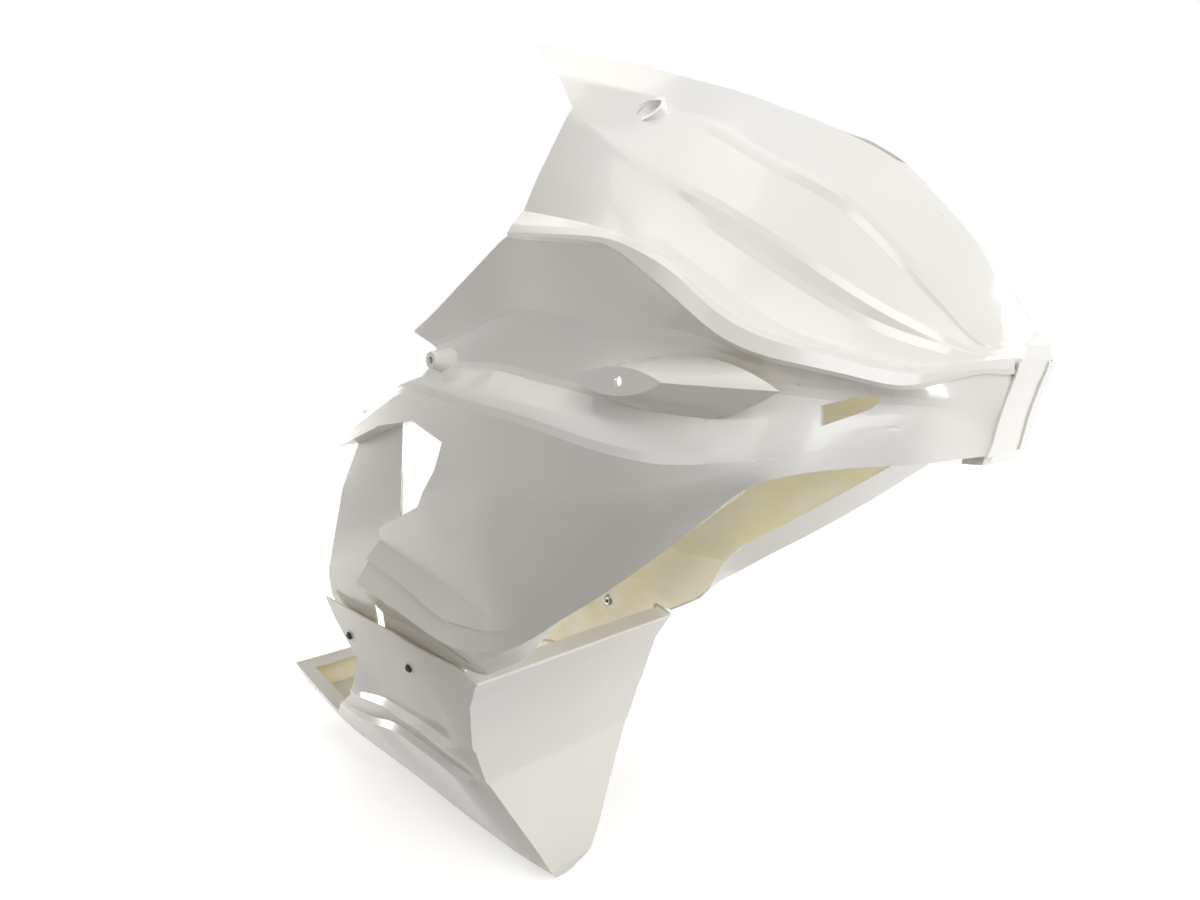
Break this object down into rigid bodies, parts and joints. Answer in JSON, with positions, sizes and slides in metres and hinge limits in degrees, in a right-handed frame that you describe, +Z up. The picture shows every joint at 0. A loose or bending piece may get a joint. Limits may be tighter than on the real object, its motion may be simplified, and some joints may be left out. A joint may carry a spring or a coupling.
{
  "type": "motorcycle fairing",
  "caption": "Moulded glass-fibre race fairing: pointed nose with an open screen cut-out, vented sides and a deep belly pan screwed on below, bolted to stays on the motorcycle's frame.",
  "frame": {"origin": "midway between the two side stay holes, on the fairing's mid-plane", "axes": "+X forward to the nose, +Y to the motorcycle's left, +Z up, as worn on the motorcycle"},
  "size_m": [1.183, 0.4806, 0.9951],
  "materials": {
    "gelcoat": "smooth glossy white gelcoat outside, raw cream laminate inside",
    "black_steel": "black oxide",
    "zinc_steel": "zinc plated"
  },
  "bodies": {
    "root": {"upper_fairing": "gelcoat", "belly_pan": "gelcoat", "belly_screws": "black_steel", "belly_nuts": "zinc_steel"}
  },
  "joints": []
}
